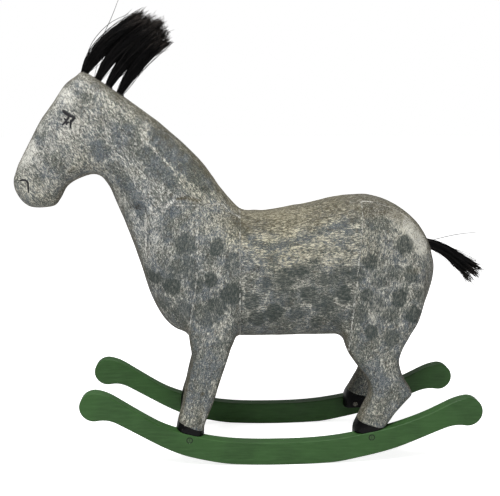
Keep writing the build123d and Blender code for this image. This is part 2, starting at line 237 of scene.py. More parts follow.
def inside_depth(shape, gx, gz):
    """Distance from each grid point to the closed outline, positive inside it."""
    nearest = np.full(gx.shape, 1e9)
    odd = np.zeros(gx.shape, bool)
    for (ax, az), (bx, bz) in zip(shape, np.roll(shape, -1, axis=0)):
        ex, ez = bx - ax, bz - az
        length2 = ex * ex + ez * ez
        if length2 < 1e-9:
            continue
        t = np.clip(((gx - ax) * ex + (gz - az) * ez) / length2, 0.0, 1.0)
        nearest = np.minimum(nearest, (gx - ax - t * ex) ** 2 + (gz - az - t * ez) ** 2)
        if az != bz:
            crosses = (az > gz) != (bz > gz)
            odd ^= crosses & (gx < (gz - az) * ex / ez + ax)
    return np.where(odd, 1.0, -1.0) * np.sqrt(nearest)


def blur(field, width):
    """A separable Gaussian blur of a 2-D field, width in cells."""
    reach = int(3 * width) + 1
    kernel = np.exp(-0.5 * (np.arange(-reach, reach + 1) / width) ** 2)
    kernel /= kernel.sum()
    for axis in (0, 1):
        pad = [(reach, reach) if a == axis else (0, 0) for a in (0, 1)]
        wide = np.pad(field, pad, mode="edge")
        total = np.zeros_like(field)
        for i, k in enumerate(kernel):
            cut = [slice(None), slice(None)]
            cut[axis] = slice(i, i + field.shape[axis])
            total += k * wide[tuple(cut)]
        field = total
    return field


def spread(stations, column, gx, gz, reach=34.0):
    """A smooth field through values given at stations (x, z, value, ...)."""
    total = np.zeros(gx.shape)
    weight = np.zeros(gx.shape)
    for station in stations:
        w = np.exp(-((gx - station[0]) ** 2 + (gz - station[1]) ** 2) / (2 * reach**2)) + 1e-12
        total += w * station[column]
        weight += w
    return total / weight


def smooth_min(a, b, k):
    """The union of two fields, filleted over k."""
    h = np.clip(0.5 + 0.5 * (b - a) / k, 0.0, 1.0)
    return b + (a - b) * h - k * h * (1.0 - h)


def smooth_max(a, b, k):
    """The intersection of two fields, with its edge rounded over k."""
    return -smooth_min(-a, -b, k)


def ease(t):
    """0 to 1, with a gentle start and end."""
    return t * t * (3.0 - 2.0 * t)


def lattice_noise(axes, cell, seed):
    """Smooth random values, -1 to 1, on the grid with these axes: one lump per cell mm."""
    weights = []
    for axis in axes:
        place = (axis - axis[0]) / cell
        low = np.floor(place).astype(int)
        t = ease(place - low)
        weight = np.zeros((len(axis), low.max() + 2), np.float32)
        weight[np.arange(len(axis)), low] = 1.0 - t
        weight[np.arange(len(axis)), low + 1] = t
        weights.append(weight)
    size = [weight.shape[1] for weight in weights]
    values = np.random.default_rng(seed).uniform(-1.0, 1.0, size).astype(np.float32)
    return np.einsum("ai,bj,ck,ijk->abc", *weights, values, optimize=True)


def lumps(points, cell, seed):
    """The same kind of random values at scattered points."""
    table = np.random.default_rng(seed).uniform(-1.0, 1.0, (48, 48, 48))
    place = points / cell + 1000.0
    low = np.floor(place).astype(int)
    t = ease(place - low)
    total = np.zeros(len(points))
    for corner in product((0, 1), repeat=3):
        weight = np.prod(np.where(corner, t, 1.0 - t), axis=1)
        i, j, k = ((low + corner) % 48).T
        total += weight * table[i, j, k]
    return total


def step_up(value, start, end):
    """0 before start, 1 after end, smooth in between."""
    return ease(np.clip((value - start) / (end - start), 0.0, 1.0))


def as_distance(field, step):
    """A field scaled so that near its surface it reads in mm."""
    gx, gy, gz = np.gradient(field, step)
    slope = np.sqrt(gx**2 + gy**2 + gz**2)
    return field / np.maximum(slope, 1e-4)


def rounded_board(depth, across, half, rounding, power):
    """A board of that half thickness, sawn to an outline and rounded towards it.

    depth is the distance inside the outline, across the distance from the board's middle plane.
    """
    side = np.clip((rounding - depth) / rounding, 0.0, None)
    return (side**power + (across / half) ** power) ** (1.0 / power) - 1.0


# ------------ the horse's outlines
CREST = [
    (-239.5, 457), (-230.5, 460.5), (-204, 445), (-167, 419), (-132, 391.5), (-97, 358),
    (-73, 326), (-50, 300.5), (-30, 297.5), (-12, 298), (30, 305.5), (65, 313.5), (95, 316),
    (112, 315), (136, 306.5), (161, 289), (179.5, 264.5), (187.5, 240), (189, 222), (186, 203),
    (178, 182), (161, 159), (140, 147), (100, 145), (60, 144.5), (0, 144), (-50, 144),
    (-95, 144.5), (-114, 148), (-138, 161), (-156, 192), (-174, 248), (-190.5, 294), (-205, 328),
    (-219, 342), (-240, 338), (-256, 328), (-265, 313), (-274, 304.5), (-299, 304),
    (-313.5, 316.5), (-318.5, 333), (-311.5, 353), (-288, 397), (-271, 422), (-254, 446),
    (-239.5, 457),
]
# Half widths and roundings of the trunk, neck and head at places in the side view.
TRUNK = [
    # x, z, half width, rounding
    (-312, 322, 15, 15), (-298, 335, 18, 18), (-285, 360, 19, 20), (-270, 380, 21, 22),
    (-240, 385, 24, 24), (-252, 418, 22, 22), (-234, 448, 18, 18), (-248, 342, 19, 18),
    (-212, 360, 25, 26), (-200, 418, 21, 26), (-178, 365, 29, 30), (-150, 385, 24, 30),
    (-148, 330, 36, 34), (-185, 310, 29, 30), (-115, 345, 31, 34), (-118, 298, 44, 40),
    (-75, 305, 40, 44), (-120, 240, 51, 46), (-82, 220, 55, 50), (-165, 245, 38, 38),
    (-150, 190, 42, 40), (-120, 165, 46, 42), (-40, 230, 56, 54), (20, 225, 57, 55),
    (80, 230, 57, 55), (130, 235, 57, 52), (165, 230, 50, 48), (182, 222, 44, 44),
    (150, 180, 50, 44), (0, 160, 54, 50), (0, 290, 54, 54), (90, 300, 55, 54),
]
FRONT_LEG = [
    (-62, 235), (-54, 200), (-52, 170), (-56, 150), (-61, 137), (-66, 122), (-71.5, 107),
    (-76.5, 92), (-81.5, 77), (-87.5, 62), (-93, 48), (-94.3, 40), (-94.3, 30), (-94.3, 22),
    (-111, 22), (-128.3, 22), (-128.3, 31), (-127.8, 41), (-125, 54), (-120.8, 70), (-118, 85),
    (-114.5, 100), (-110, 117), (-108.5, 130), (-110.5, 145), (-112, 170), (-106, 205),
    (-98, 235),
]
REAR_LEG = [
    (165, 232), (171, 200), (166, 172), (153.5, 149), (146, 135), (142, 121), (144, 108),
    (149, 97), (155, 87), (156.5, 80), (149, 72), (139, 61), (129, 48), (121.5, 38), (121, 30),
    (121, 22), (104, 22), (86.5, 22), (86, 31), (87, 42), (92, 53), (98.5, 66), (104.5, 78),
    (105.5, 91), (99, 104), (89.5, 116), (81, 128), (76, 140), (74, 160), (80, 200), (92, 232),
]
# Middle plane and half width of a leg at heights, (z, middle, half).
LEG_LEVELS = [
    (20, 55, 17), (46, 55, 17), (60, 52.5, 16.5), (85, 48.5, 17.5), (115, 44, 19),
    (150, 38.5, 20.5), (200, 34, 21), (240, 33, 21),
]


def level(column, z):
    """A leg's middle plane or half width at height z."""
    table = np.array(LEG_LEVELS, float)
    return np.interp(z, table[:, 0], table[:, column])


def rocker_top(x, side):
    """Height of a rocker's top edge at x, read off its CAD node."""
    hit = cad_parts[f"rocker_{side}"].ray_cast(
        row(x, -ROCKER_MIDDLE if side == "left" else ROCKER_MIDDLE, 500.0), Vector((0.0, 0.0, -1.0))
    )
    return hit[1].z / MM


def rocker_tops(xs, side):
    """The same at many places, from a few samples along the hooves."""
    places = np.arange(-140.0, 141.0, 5.0)
    return np.interp(xs, places, [rocker_top(x, side) for x in places])


def leg_field(shape, shift, xs, ys, zs):
    """One leg as a distance field: sawn in the side view, bent outwards in the front view."""
    gx, gz = np.meshgrid(xs - shift, zs, indexing="ij")
    depth = inside_depth(smooth_line(shape + shape[:1])[:-1], gx, gz)[:, None, :]
    middle = level(1, zs)[None, None, :]
    half = level(2, zs)[None, None, :]
    leg = rounded_board(depth, np.abs(ys[None, :, None] - middle), half, LEG_ROUNDING, LEG_POWER)
    return as_distance(leg.astype(np.float32), VOXEL)


def carve_horse():
    """The whole horse as a distance field. Returns the grid's axes and the field."""
    xs, ys, zs = (np.arange(*span, VOXEL) for span in (GRID_X, GRID_Y, GRID_Z))
    gx, gz = np.meshgrid(xs, zs, indexing="ij")
    across = np.abs(ys)[None, :, None]

    depth = inside_depth(smooth_line(CREST)[:-1], gx, gz) + SWELL
    depth = np.where(depth > 4.0, blur(depth, 3.0 / VOXEL), depth)
    half = spread(TRUNK, 2, gx, gz)
    rounding = spread(TRUNK, 3, gx, gz)
    trunk = rounded_board(
        depth[:, None, :], across, half[:, None, :], rounding[:, None, :], TRUNK_POWER
    )
    field = as_distance(trunk.astype(np.float32), VOXEL)
    for end, shape in (("front", FRONT_LEG), ("rear", REAR_LEG)):
        left = leg_field(shape, 0.0, xs, -ys, zs)
        right = leg_field(shape, FAR_SHIFT[end], xs, ys, zs)
        field = smooth_min(field, np.minimum(left, right), LEG_FILLET)

    axes = (xs, ys, zs)
    lumpy = LUMP_DEPTH * lattice_noise(axes, LUMP_SIZE, 1)
    field += lumpy + KNIFE_DEPTH * lattice_noise(axes, KNIFE_SIZE, 2)
    facet = 0.8 * (across - FACET_Y) - 0.6 * np.clip(xs - FACET_X, -26.0, None)[:, None, None]
    beyond = np.clip(np.abs(zs - FACET_Z) - FACET_HALF, 0.0, None)[None, None, :]
    facet = facet - 0.5 * beyond
    field = smooth_max(field, facet, 0.8)
    for side, sign in (("left", -1.0), ("right", 1.0)):
        over_rocker = rocker_tops(xs, side)[:, None, None] - zs[None, None, :]
        outboard = (sign * ys - ROCKER_INNER)[None, :, None]
        field = np.maximum(field, np.minimum(over_rocker, outboard))
    field = np.maximum(field, (TONGUE_Z - zs)[None, None, :])
    low_inside = np.minimum((HOOF_INNER - across), (HOOF_TOP - zs)[None, None, :])
    field = smooth_max(field, low_inside, 3.0)
    field = np.maximum(field, across - STANCE_HALF + HOOF_FLUSH)
    return xs, ys, zs, field.astype(np.float32)


def plane_field(gx, gz, a, b):
    """Distance to the right of the line from a to b in the side view."""
    ex, ez = b[0] - a[0], b[1] - a[1]
    length = math.hypot(ex, ez)
    return ((gx - a[0]) * ez - (gz - a[1]) * ex) / length


def regions(xs, ys, zs):
    """Where each board of the glued-up horse lies: a field per node, negative inside."""
    x = xs[:, None, None]
    y = ys[None, :, None]
    z = zs[None, None, :]
    gx, gz = np.meshgrid(xs, zs, indexing="ij")
    plumb_x, plumb_z = SHOULDER_SEAM[1]
    shoulder_line = plane_field(gx, gz, *SHOULDER_SEAM)
    shoulder_line = np.where(gz > plumb_z, gx - plumb_x, shoulder_line)[:, None, :]
    rear_line = plane_field(gx, gz, REAR_SEAM[1], REAR_SEAM[0])[:, None, :]
    fall = SHOULDER_FALL * np.clip(SHOULDER_BEND_X - gx, 0, None)
    slope_top = (gz - SHOULDER_TOP_Z + fall)[:, None, :]
    fields = {}
    for side, sign in (("left", -1), ("right", 1)):
        outboard = CORE_HALF - sign * y
        front_boards = np.maximum(np.maximum(x - FRONT_SEAM_X, slope_top), outboard)
        ahead_of_leg = np.maximum(shoulder_line, SHOULDER_FRONT_X - x)
        fields[f"shoulder_{side}"] = np.maximum(front_boards, ahead_of_leg)
        fields[f"leg_front_{side}"] = np.maximum(front_boards, -shoulder_line)
        fields[f"leg_rear_{side}"] = np.maximum(-rear_line, outboard)
    neck = np.broadcast_to(x - FRONT_SEAM_X, (len(xs), len(ys), len(zs)))
    body = FRONT_SEAM_X - x
    for name, field in fields.items():
        if name.startswith("leg_rear"):
            body = np.maximum(body, -field)
        else:
            neck = np.maximum(neck, -field)
    fields["neck_and_head"] = neck
    fields["body_block"] = body
    return fields


# ------------ paint: where each colour goes
# Tone of the broken paint, -1 slate to 1 cream, and how yellow the cream is: (x, z, tone, yellow).
TONE = [
    # The head's first rows lighten the forehead and the nose's front: cream paint, and on the nose's
    # front a painted highlight.
    (-245, 440, 0.55, 0.1), (-300, 362, 0.7, 0.1), (-278, 385, 0.25, 0.1), (-295, 325, 0.1, 0.5),
    (-250, 392, 0.0, 0.2), (-262, 350, -0.1, 0.3), (-225, 350, 0.1, 0.6), (-225, 420, -0.05, 0.3),
    (-205, 432, -0.1, 0.4), (-170, 405, -0.1, 0.5), (-188, 385, -0.3, 0.0), (-200, 362, -0.1, 0.2),
    (-150, 365, -0.15, 0.2), (-120, 368, -0.1, 0.5), (-92, 338, 0.1, 0.7), (-178, 328, -0.15, 0.2),
    (-152, 318, -0.1, 0.0), (-125, 298, -0.55, 0.3), (-85, 300, -0.05, 0.5), (-166, 268, -0.2, 0.1),
    (-150, 215, -0.7, 0.2), (-40, 285, 0.05, 0.9), (0, 280, 0.5, 1.0), (45, 290, 0.15, 0.9),
    (0, 253, 0.0, 1.0), (50, 256, -0.15, 0.8), (92, 272, 0.0, 0.7), (115, 280, -0.1, 0.4),
    (150, 285, 0.2, 0.5), (170, 252, 0.0, 0.4), (170, 225, -0.3, 0.3), (-100, 235, -0.65, 0.2),
    (-60, 228, -0.6, 0.3), (-15, 215, -0.65, 0.4), (30, 215, -0.7, 0.3), (70, 212, -0.7, 0.3),
    (120, 215, -0.4, 0.3), (150, 190, -0.45, 0.3), (0, 165, -0.65, 0.4), (60, 160, -0.65, 0.4),
    (-60, 165, -0.7, 0.3), (-115, 165, -0.8, 0.3), (-85, 130, -0.9, 0.3), (-95, 95, -0.9, 0.4),
    (-105, 60, -0.55, 0.5), (115, 140, -0.75, 0.4), (125, 112, -1.0, 0.3), (142, 97, -0.9, 0.3),
    (108, 58, -0.5, 0.5),
]
# Brushed patches of each kind, some of them painted shade and highlights: (strength, half width,
# points along the middle).
PATCHES = {
    "tone": [
        (-1.1, 9, [(-215, 374), (-211, 369)]), (-0.35, 14, [(-186, 392), (-178, 383)]),
        (-0.9, 9, [(-160, 368), (-132, 336)]), (-0.9, 10, [(-146, 385), (-90, 332)]),
        (-0.5, 8, [(-184, 336), (-166, 300)]), (-0.4, 6, [(-200, 355), (-182, 330)]),
        # The patch over the eye, from (-249, 447), is painted shade.
        (-0.4, 6, [(-249, 447), (-240, 442), (-227, 431)]), (-0.4, 8, [(-284, 384)]),
        (-0.35, 8, [(-272, 360), (-262, 352)]), (-0.35, 7, [(-284, 337)]),
        # Painted highlight down the nose's front at (-303, 364); below the eye at (-246, 398), paint
        # lightened further as a painted highlight.
        (0.75, 9, [(-303, 364), (-296, 375)]), (0.35, 9, [(-246, 398), (-252, 392)]),
        # The forehead patch at (-252, 438) is paint lightened as a painted highlight; the neck one
        # after it is a cream streak.
        (0.5, 7, [(-252, 438), (-244, 430)]), (0.35, 5, [(-160, 386), (-128, 355)]),
        # The patch at (-152, 306) is a painted highlight on the pared flat of the shoulder.
        (0.7, 4, [(-87, 348), (-70, 326), (-54, 306)]), (0.1, 6, [(-152, 306), (-149, 266)]),
        # The rump patch from (132, 292) is a painted highlight.
        (-0.4, 6, [(-132, 300), (-134, 270)]), (1.0, 10, [(132, 292), (153, 280), (167, 258)]),
        (-0.5, 8, [(104, 288), (136, 284)]),
        (-0.6, 3.5, [(-55, 288), (-35, 266), (-11, 261), (15, 267), (54, 282), (87, 292)]),
        (0.25, 4, [(2, 250), (82, 250)]), (0.2, 6, [(-44, 299), (-2, 294), (30, 298)]),
        (-0.5, 7, [(-108, 145), (-112, 110)]), (0.35, 5, [(-69, 137), (-86, 84)]),
        (0.4, 6, [(117, 134), (136, 98)]), (-0.5, 6, [(142, 99)]),
    ],
    "chip": [
        # The rump patch from (148, 285) turns the painted highlight to chalk; the rest are chips and
        # a crack in the paint.
        (0.4, 7, [(148, 285), (168, 260)]), (0.9, 1.8, [(-139, 303), (-129, 314)]),
        (0.7, 1.5, [(-161, 298), (-161, 250)]), (0.6, 2.0, [(-94, 62), (-96, 48)]),
    ],
    "warm": [
        (1.0, 2.0, [(-124, 316), (-112, 317), (-97, 313)]), (0.9, 2.6, [(-96, 88)]),
        (0.6, 5, [(-234, 457), (-205, 442), (-150, 404)]), (0.35, 6, [(-98, 52), (-95, 60)]),
        # The jaw patch at (-251, 346) is painted shade where a crease would be; the carving has none.
        (0.6, 2.0, [(-251, 346), (-243, 351)]), (0.3, 4, [(-40, 297), (0, 299)]),
    ],
}
# Dapples: (x, z, radius).
SPOTS = [
    (-114, 264, 11), (-78, 261, 8), (-129, 234, 11), (-131, 214, 8), (-109, 236, 10),
    (-59, 243, 9), (-61, 206, 10), (-91, 182, 11), (-37, 197, 9), (3, 224, 10), (0, 202, 10),
    (-10, 184, 9), (-19, 217, 7), (17, 181, 7), (19, 234, 7), (36, 242, 6), (30, 205, 9),
    (48, 192, 10), (68, 227, 9), (71, 204, 9), (50, 223, 7), (87, 229, 7), (101, 243, 8),
    (111, 222, 9), (98, 204, 6), (89, 180, 9), (110, 192, 9), (137, 198, 9), (131, 229, 8),
    (144, 262, 9), (150, 228, 8), (166, 201, 7), (155, 179, 8), (125, 180, 8), (128, 152, 9),
    (105, 158, 7), (64, 175, 8), (-31, 176, 8), (41, 170, 7), (-118, 183, 11), (-152, 222, 7),
    (-144, 192, 8), (-101, 217, 8), (-78, 193, 8), (-13, 248, 6), (-85, 222, 8),
]
# Black brush strokes of the eye and the nostril: (half width, points).
EYE = [
    (2.1, [(-254.5, 417.6), (-249.5, 413.6), (-244.6, 410.8), (-240.0, 409.4)]),
    (1.7, [(-240.0, 409.6), (-243.0, 406.4), (-245.3, 403.9), (-246.0, 396.6)]),
    (1.2, [(-247.1, 410.8), (-249.8, 406.2), (-253.3, 408.5)]),
    (1.2, [(-249.8, 405.5), (-252.5, 403.0), (-255.6, 400.1)]),
    (1.2, [(-247.0, 404.0), (-249.8, 403.0), (-251.0, 400.2)]),
]
NOSTRIL = [
    (1.3, [(-308.7, 335.4), (-303.0, 336.7), (-299.0, 334.2), (-298.4, 327.5), (-298.5, 321.5)]),
]


def patch_distance(x, z, points):
    """Distance from each (x, z) to the line through the points, or to the one point."""
    nearest = np.full(len(x), 1e9)
    for (ax, az), (bx, bz) in zip(points, points[1:] or points):
        ex, ez = bx - ax, bz - az
        length2 = max(ex * ex + ez * ez, 1e-9)
        t = np.clip(((x - ax) * ex + (z - az) * ez) / length2, 0.0, 1.0)
        nearest = np.minimum(nearest, np.hypot(x - ax - t * ex, z - az - t * ez))
    return nearest


def paint_masks(points, normals, seam):
    """Where each colour lies, at points of the surface in script mm. Returns {name: values}."""
    far = points[:, 1] > 0.0
    drift = np.where(far, FAR_DRIFT, 0.0)
    x = points[:, 0] + drift * lumps(points, 45.0, 11) + 1.3 * lumps(points, 6.0, 12)
    z = points[:, 2] + drift * lumps(points, 45.0, 13) + 1.3 * lumps(points, 6.0, 14)
    ragged = 1.6 * lumps(points, 5.0, 15) + 1.0 * lumps(points, 2.6, 16)
    masks = {
        "tone": spread(TONE, 2, x, z, 13.0) - 0.25 + 0.12 * lumps(points, 11.0, 17),
        "yellow": spread(TONE, 3, x, z, 16.0),
        # warm: olive on up-facing surfaces, as grime and as painted shade that holds the lamp-lit
        # tops down.
        "warm": 0.9 * step_up(normals[:, 2] + 0.15 * lumps(points, 8.0, 18), 0.3, 0.75),
        "chip": np.zeros(len(x)),
        "solid": np.zeros(len(x)),
    }
    edge = 1.0 - step_up(np.abs(normals[:, 1]) + 0.12 * lumps(points, 7.0, 21), 0.3, 0.72)
    masks["warm"] = np.maximum(masks["warm"], 0.95 * edge)
    patches = ((kind, *patch) for kind in PATCHES for patch in PATCHES[kind])
    for kind, strength, width, line in patches:
        away = patch_distance(x, z, line) + 0.2 * width * lumps(points, width, 19)
        cover = 1.0 - step_up(away, 0.55 * width, 1.35 * width)
        if kind == "tone":
            masks[kind] += 2.0 * strength * cover
        else:
            masks[kind] = np.maximum(masks[kind], strength * cover)
    net = 1.0 - step_up(np.abs(lumps(points, 13.0, 20)), 0.0, 0.16)
    lower = 1.0 - step_up(z, 235.0, 265.0)
    masks["tone"] += 0.9 * net * lower * step_up(z, 120.0, 160.0)
    # Surfaces facing down are pushed towards slate: painted shade under the belly, neck and head.
    masks["tone"] -= 0.4 * step_up(-normals[:, 2], 0.15, 0.7)
    for i, (sx, sz, radius) in enumerate(SPOTS):
        strong = 0.75 + 0.25 * math.sin(2.4 * i)
        away = np.hypot((x - sx) * (0.88 + 0.13 * math.sin(1.7 * i)), (z - sz) * 0.82) + ragged
        cover = strong * (1.0 - step_up(away, radius - 1.0, radius + 1.8))
        masks["solid"] = np.maximum(masks["solid"], cover)
    masks["solid"] *= step_up(np.abs(points[:, 1]), 14.0, 26.0)
    masks["seam"] = seam
    front, rear = (bz + slope * (points[:, 0] - bx) for bx, bz, slope in HOOF_BANDS)
    masks["hoof"] = np.where(points[:, 0] < 0.0, front, rear) - points[:, 2]
    return masks


# ------------ materials
class Paint:
    """A material under construction. Each method adds a node and returns its output."""

    def __init__(self, name):
        self.material = bpy.data.materials.new(name)
        self.material.use_nodes = True
        self.tree = self.material.node_tree
        self.shader = self.tree.nodes["Principled BSDF"]

    def node(self, kind, inputs, output=0, **settings):
        """Adds a node; inputs are sockets to link from or plain values."""
        new = self.tree.nodes.new("ShaderNode" + kind)
        for key, value in settings.items():
            setattr(new, key, value)
        for key, value in inputs.items():
            self.put(new.inputs[key], value)
        return new.outputs[output]

    def put(self, socket, value):
        """Links or sets one input."""
        if isinstance(value, bpy.types.NodeSocket):
            self.tree.links.new(value, socket)
        else:
            socket.default_value = value

    def finish(self, **inputs):
        """Fills the shader's inputs, named with underscores, and returns the material."""
        for key, value in inputs.items():
            self.put(self.shader.inputs[key.replace("_", " ")], value)
        return self.material

    def place(self, angle=0.0, stretch=1.0):
        """Object coordinates, drawn out along a direction in the side view, in degrees up from +X."""
        inputs = {"Vector": self.node("TexCoord", {}, "Object"), "Scale": (stretch, 1.0, 1.0)}
        inputs["Rotation"] = (0.0, math.radians(-angle), 0.0)
        return self.node("Mapping", inputs, vector_type="TEXTURE")

    def noise(self, vector, size, detail=4.0, roughness=0.6, distortion=0.0):
        """Fractal noise with its largest lumps of that size, in mm."""
        inputs = {"Vector": vector, "Scale": 1.0 / (size * MM), "Detail": detail}
        return self.node("TexNoise", {**inputs, "Roughness": roughness, "Distortion": distortion})

    def cracks(self, vector, size, wobble):
        """Distance to the edges of irregular cells of that size, in mm."""
        bend = {"Fac": 0.0012, "Color1": vector, "Color2": wobble}
        bent = self.node("MixRGB", bend, blend_type="ADD")
        return self.node(
            "TexVoronoi", {"Vector": bent, "Scale": 1.0 / (size * MM)}, feature="DISTANCE_TO_EDGE"
        )

    def attribute(self, name):
        """A value stored on the mesh."""
        return self.node("Attribute", {}, "Fac", attribute_name=name)

    def math(self, operation, a, b=0.5, clamp=False):
        """One arithmetic step on two values."""
        return self.node("Math", {0: a, 1: b}, operation=operation, use_clamp=clamp)

    def times(self, a, b):
        """The product of two values."""
        return self.math("MULTIPLY", a, b)

    def swing(self, noise, gain):
        """A noise's swing about its middle, times gain."""
        return self.times(self.math("SUBTRACT", noise, 0.5), gain)

    def veins(self, noise, *ramp):
        """A ramp away from the lines where a noise crosses its middle."""
        return self.ramp(self.math("ABSOLUTE", self.math("SUBTRACT", noise, 0.5)), *ramp)

    def ramp(self, value, start, end, low=0.0, high=1.0):
        """Maps start..end to low..high, smoothly and no further."""
        return self.node(
            "MapRange",
            {"Value": value, "From Min": start, "From Max": end, "To Min": low, "To Max": high},
            interpolation_type="SMOOTHSTEP",
        )

    def mix(self, factor, a, b):
        """Colour a where factor is 0, colour b where it is 1."""
        colours = {"Fac": factor}
        for key, value in (("Color1", a), ("Color2", b)):
            colours[key] = (*value, 1.0) if isinstance(value, tuple) else value
        return self.node("MixRGB", colours)

    def blend(self, factor, a, b):
        """The same for plain values."""
        return self.node("Mix", {0: factor, 2: a, 3: b}, data_type="FLOAT")

    def coat(self, colour, rough, height, depth, **inputs):
        """Finishes a material with a colour, a roughness and a bump of that depth, in mm."""
        relief = self.node("Bump", {"Strength": 1.0, "Distance": depth * MM, "Height": height})
        return self.finish(Base_Color=colour, Roughness=rough, Normal=relief, **inputs)


def dapple_material(name, angle, stretch):
    """Slate paint dragged and dabbed over cream, crazed, chipped at the seams, black at the hooves.

    angle and stretch say which way the brush went, as in BRUSHING.
    """
    paint = Paint(name)
    drawn = paint.place(angle, stretch)
    plain = paint.place()
    fine = paint.noise(drawn, 1.5, 5.0, 0.78, 0.3)
    dabs = paint.noise(plain, 6.0, 3.0, 0.6, 0.6)
    blotch = paint.noise(plain, 22.0, 2.0, 0.5)
    web = paint.noise(plain, 2.6, 2.0, 0.6, 0.9)
    scratch = paint.noise(drawn, 1.9, 2.0, 0.6, 0.6)
    tone = paint.attribute("tone")
    solid = paint.attribute("solid")

    # How much cream shows through: broken by grain and swipes, pale veins, dark scratches.
    grain = paint.math("ADD", paint.times(fine, 0.8), paint.times(dabs, 0.2))
    grain = paint.swing(grain, GRAIN_CONTRAST)
    swipes = paint.noise(drawn, 8.0, 3.0, 0.5, 0.4)
    grain = paint.math("ADD", grain, paint.swing(swipes, SWIPE_CONTRAST))
    # The tone attribute carries painted shade under the body and painted highlights on the head,
    # shoulder and rump.
    cover = paint.math("ADD", grain, paint.times(tone, 0.6))
    cover = paint.math("ADD", cover, 0.5, clamp=True)
    cover = paint.math("MAXIMUM", cover, paint.veins(web, 0.0, 0.045, 0.5, 0.0))
    cover = paint.times(cover, paint.veins(scratch, 0.0, 0.06, 0.15, 1.0))

    # Slate over cream, and the dapples dabbed on.
    slate = paint.mix(paint.ramp(blotch, 0.35, 0.65), SLATE_GREEN, SLATE_BLUE)
    slate = paint.mix(paint.ramp(dabs, 0.3, 0.7), slate, paint.mix(0.45, slate, DARK_SLATE))
    cream = paint.mix(paint.attribute("yellow"), CREAM_COOL, CREAM_WARM)
    colour = paint.mix(cover, slate, cream)
    dab = paint.mix(paint.ramp(fine, 0.3, 0.7), DARK_SLATE, SLATE_GREEN)
    dabbed = paint.times(solid, paint.ramp(fine, 0.3, 0.62, 1.0, 0.82))
    colour = paint.mix(dabbed, colour, dab)

    # Crazing, and olive on the up-facing surfaces and edges: grime, and painted shade on the lamp-lit
    # tops.
    wobble = paint.node("TexNoise", {"Vector": plain, "Scale": 260.0}, "Color")
    edges = paint.cracks(drawn, 4.2, wobble)
    crazing = paint.times(paint.ramp(edges, 0.0, 0.08, 0.65, 0.0), paint.ramp(dabs, 0.4, 0.55))
    crazing = paint.times(crazing, paint.ramp(solid, 0.2, 0.8, 1.0, 0.25))
    colour = paint.mix(crazing, colour, GRIME)
    warm = paint.times(paint.attribute("warm"), paint.ramp(fine, 0.36, 0.6, 1.0, 0.5))
    colour = paint.mix(warm, colour, OLIVE)

    # Seams: rubbed to the chalk ground, with grime beside them.
    seam = paint.attribute("seam")
    rubbed = paint.times(paint.ramp(seam, 0.3, 1.3, 0.7, 0.0), paint.ramp(fine, 0.42, 0.56))
    beside = paint.times(paint.ramp(seam, 0.5, 1.2), paint.ramp(seam, 1.4, 2.8, 0.4, 0.0))
    colour = paint.mix(paint.times(beside, paint.ramp(dabs, 0.4, 0.6)), colour, GRIME)
    # Chalk at chips and rubbed seams, and the painted highlight along the rump.
    chipped_and_highlit = paint.times(paint.attribute("chip"), paint.ramp(fine, 0.46, 0.52))
    chipped_and_highlit = paint.math("MAXIMUM", chipped_and_highlit, paint.times(rubbed, paint.ramp(dabs, 0.4, 0.55)))
    colour = paint.mix(chipped_and_highlit, colour, CHALK)

    # Black hooves, worn in places.
    hoof = paint.math("ADD", paint.attribute("hoof"), paint.swing(dabs, 2.0))
    hoof = paint.ramp(hoof, -0.15, 0.15)
    worn = paint.times(hoof, paint.ramp(fine, 0.68, 0.72, 1.0, 0.3))
    colour = paint.mix(worn, colour, HOOF_BLACK)

    rough = paint.blend(hoof, paint.ramp(fine, 0.3, 0.7, 0.62, 0.5), 0.3)
    height = paint.math("ADD", fine, paint.times(dabs, 0.6))
    height = paint.math("SUBTRACT", height, paint.times(crazing, 0.5))
    height = paint.math("SUBTRACT", height, paint.times(chipped_and_highlit, 0.4))
    height = paint.times(height, paint.ramp(hoof, 0.0, 1.0, 1.0, 0.3))
    return paint.coat(colour, rough, height, 0.9, Specular_IOR_Level=0.12)


def enamel_material(name, base, wear, screw=None):
    """Satin enamel brushed along a board, with faint brush marks, grime and rubbed places.

    wear is how much of it is rubbed through. screw is a screw head's x, z and radius in metres,
    for the painted shade round its rim.
    """
    paint = Paint(name)
    drawn = paint.place(0.0, 9.0)
    plain = paint.place()
    brush = paint.noise(drawn, 3.0, 4.0, 0.6)
    cloud = paint.noise(plain, 45.0, 3.0, 0.55)
    fleck = paint.noise(plain, 1.6, 3.0, 0.6)
    pale = tuple(min(1.0, 1.3 * c + 0.008) for c in base)
    deep = tuple(0.78 * c for c in base)
    colour = paint.mix(paint.ramp(cloud, 0.38, 0.62), deep, base)
    colour = paint.mix(paint.ramp(brush, 0.35, 0.75, 0.0, 0.5), colour, pale)
    spots = paint.times(paint.ramp(fleck, 0.72, 0.78), paint.ramp(cloud, 0.5, 0.6))
    colour = paint.mix(paint.times(spots, wear), colour, RUBBED)
    dirt = paint.ramp(paint.noise(plain, 4.0, 5.0, 0.75), 0.58, 0.7, 0.0, 0.3)
    colour = paint.mix(dirt, colour, tuple(0.5 * c for c in base))
    if screw:
        x, z, radius = screw
        # Painted shade: the head darkens towards its rim, where it sits in the countersink.
        flat = paint.node("VectorMath", {0: plain, 1: (1.0, 0.0, 1.0)}, operation="MULTIPLY")
        away = paint.node("VectorMath", {0: flat, 1: (x, 0.0, z)}, "Value", operation="DISTANCE")
        rim = paint.ramp(away, 0.5 * radius, 0.9 * radius, 0.0, 0.95)
        colour = paint.mix(rim, colour, SCREW_RIM_SHADE)
    height = paint.math("ADD", paint.times(brush, 0.7), paint.times(fleck, 0.25))
    rough = paint.ramp(cloud, 0.35, 0.65, 0.36, 0.5)
    return paint.coat(colour, rough, height, 0.35, Specular_IOR_Level=0.2)


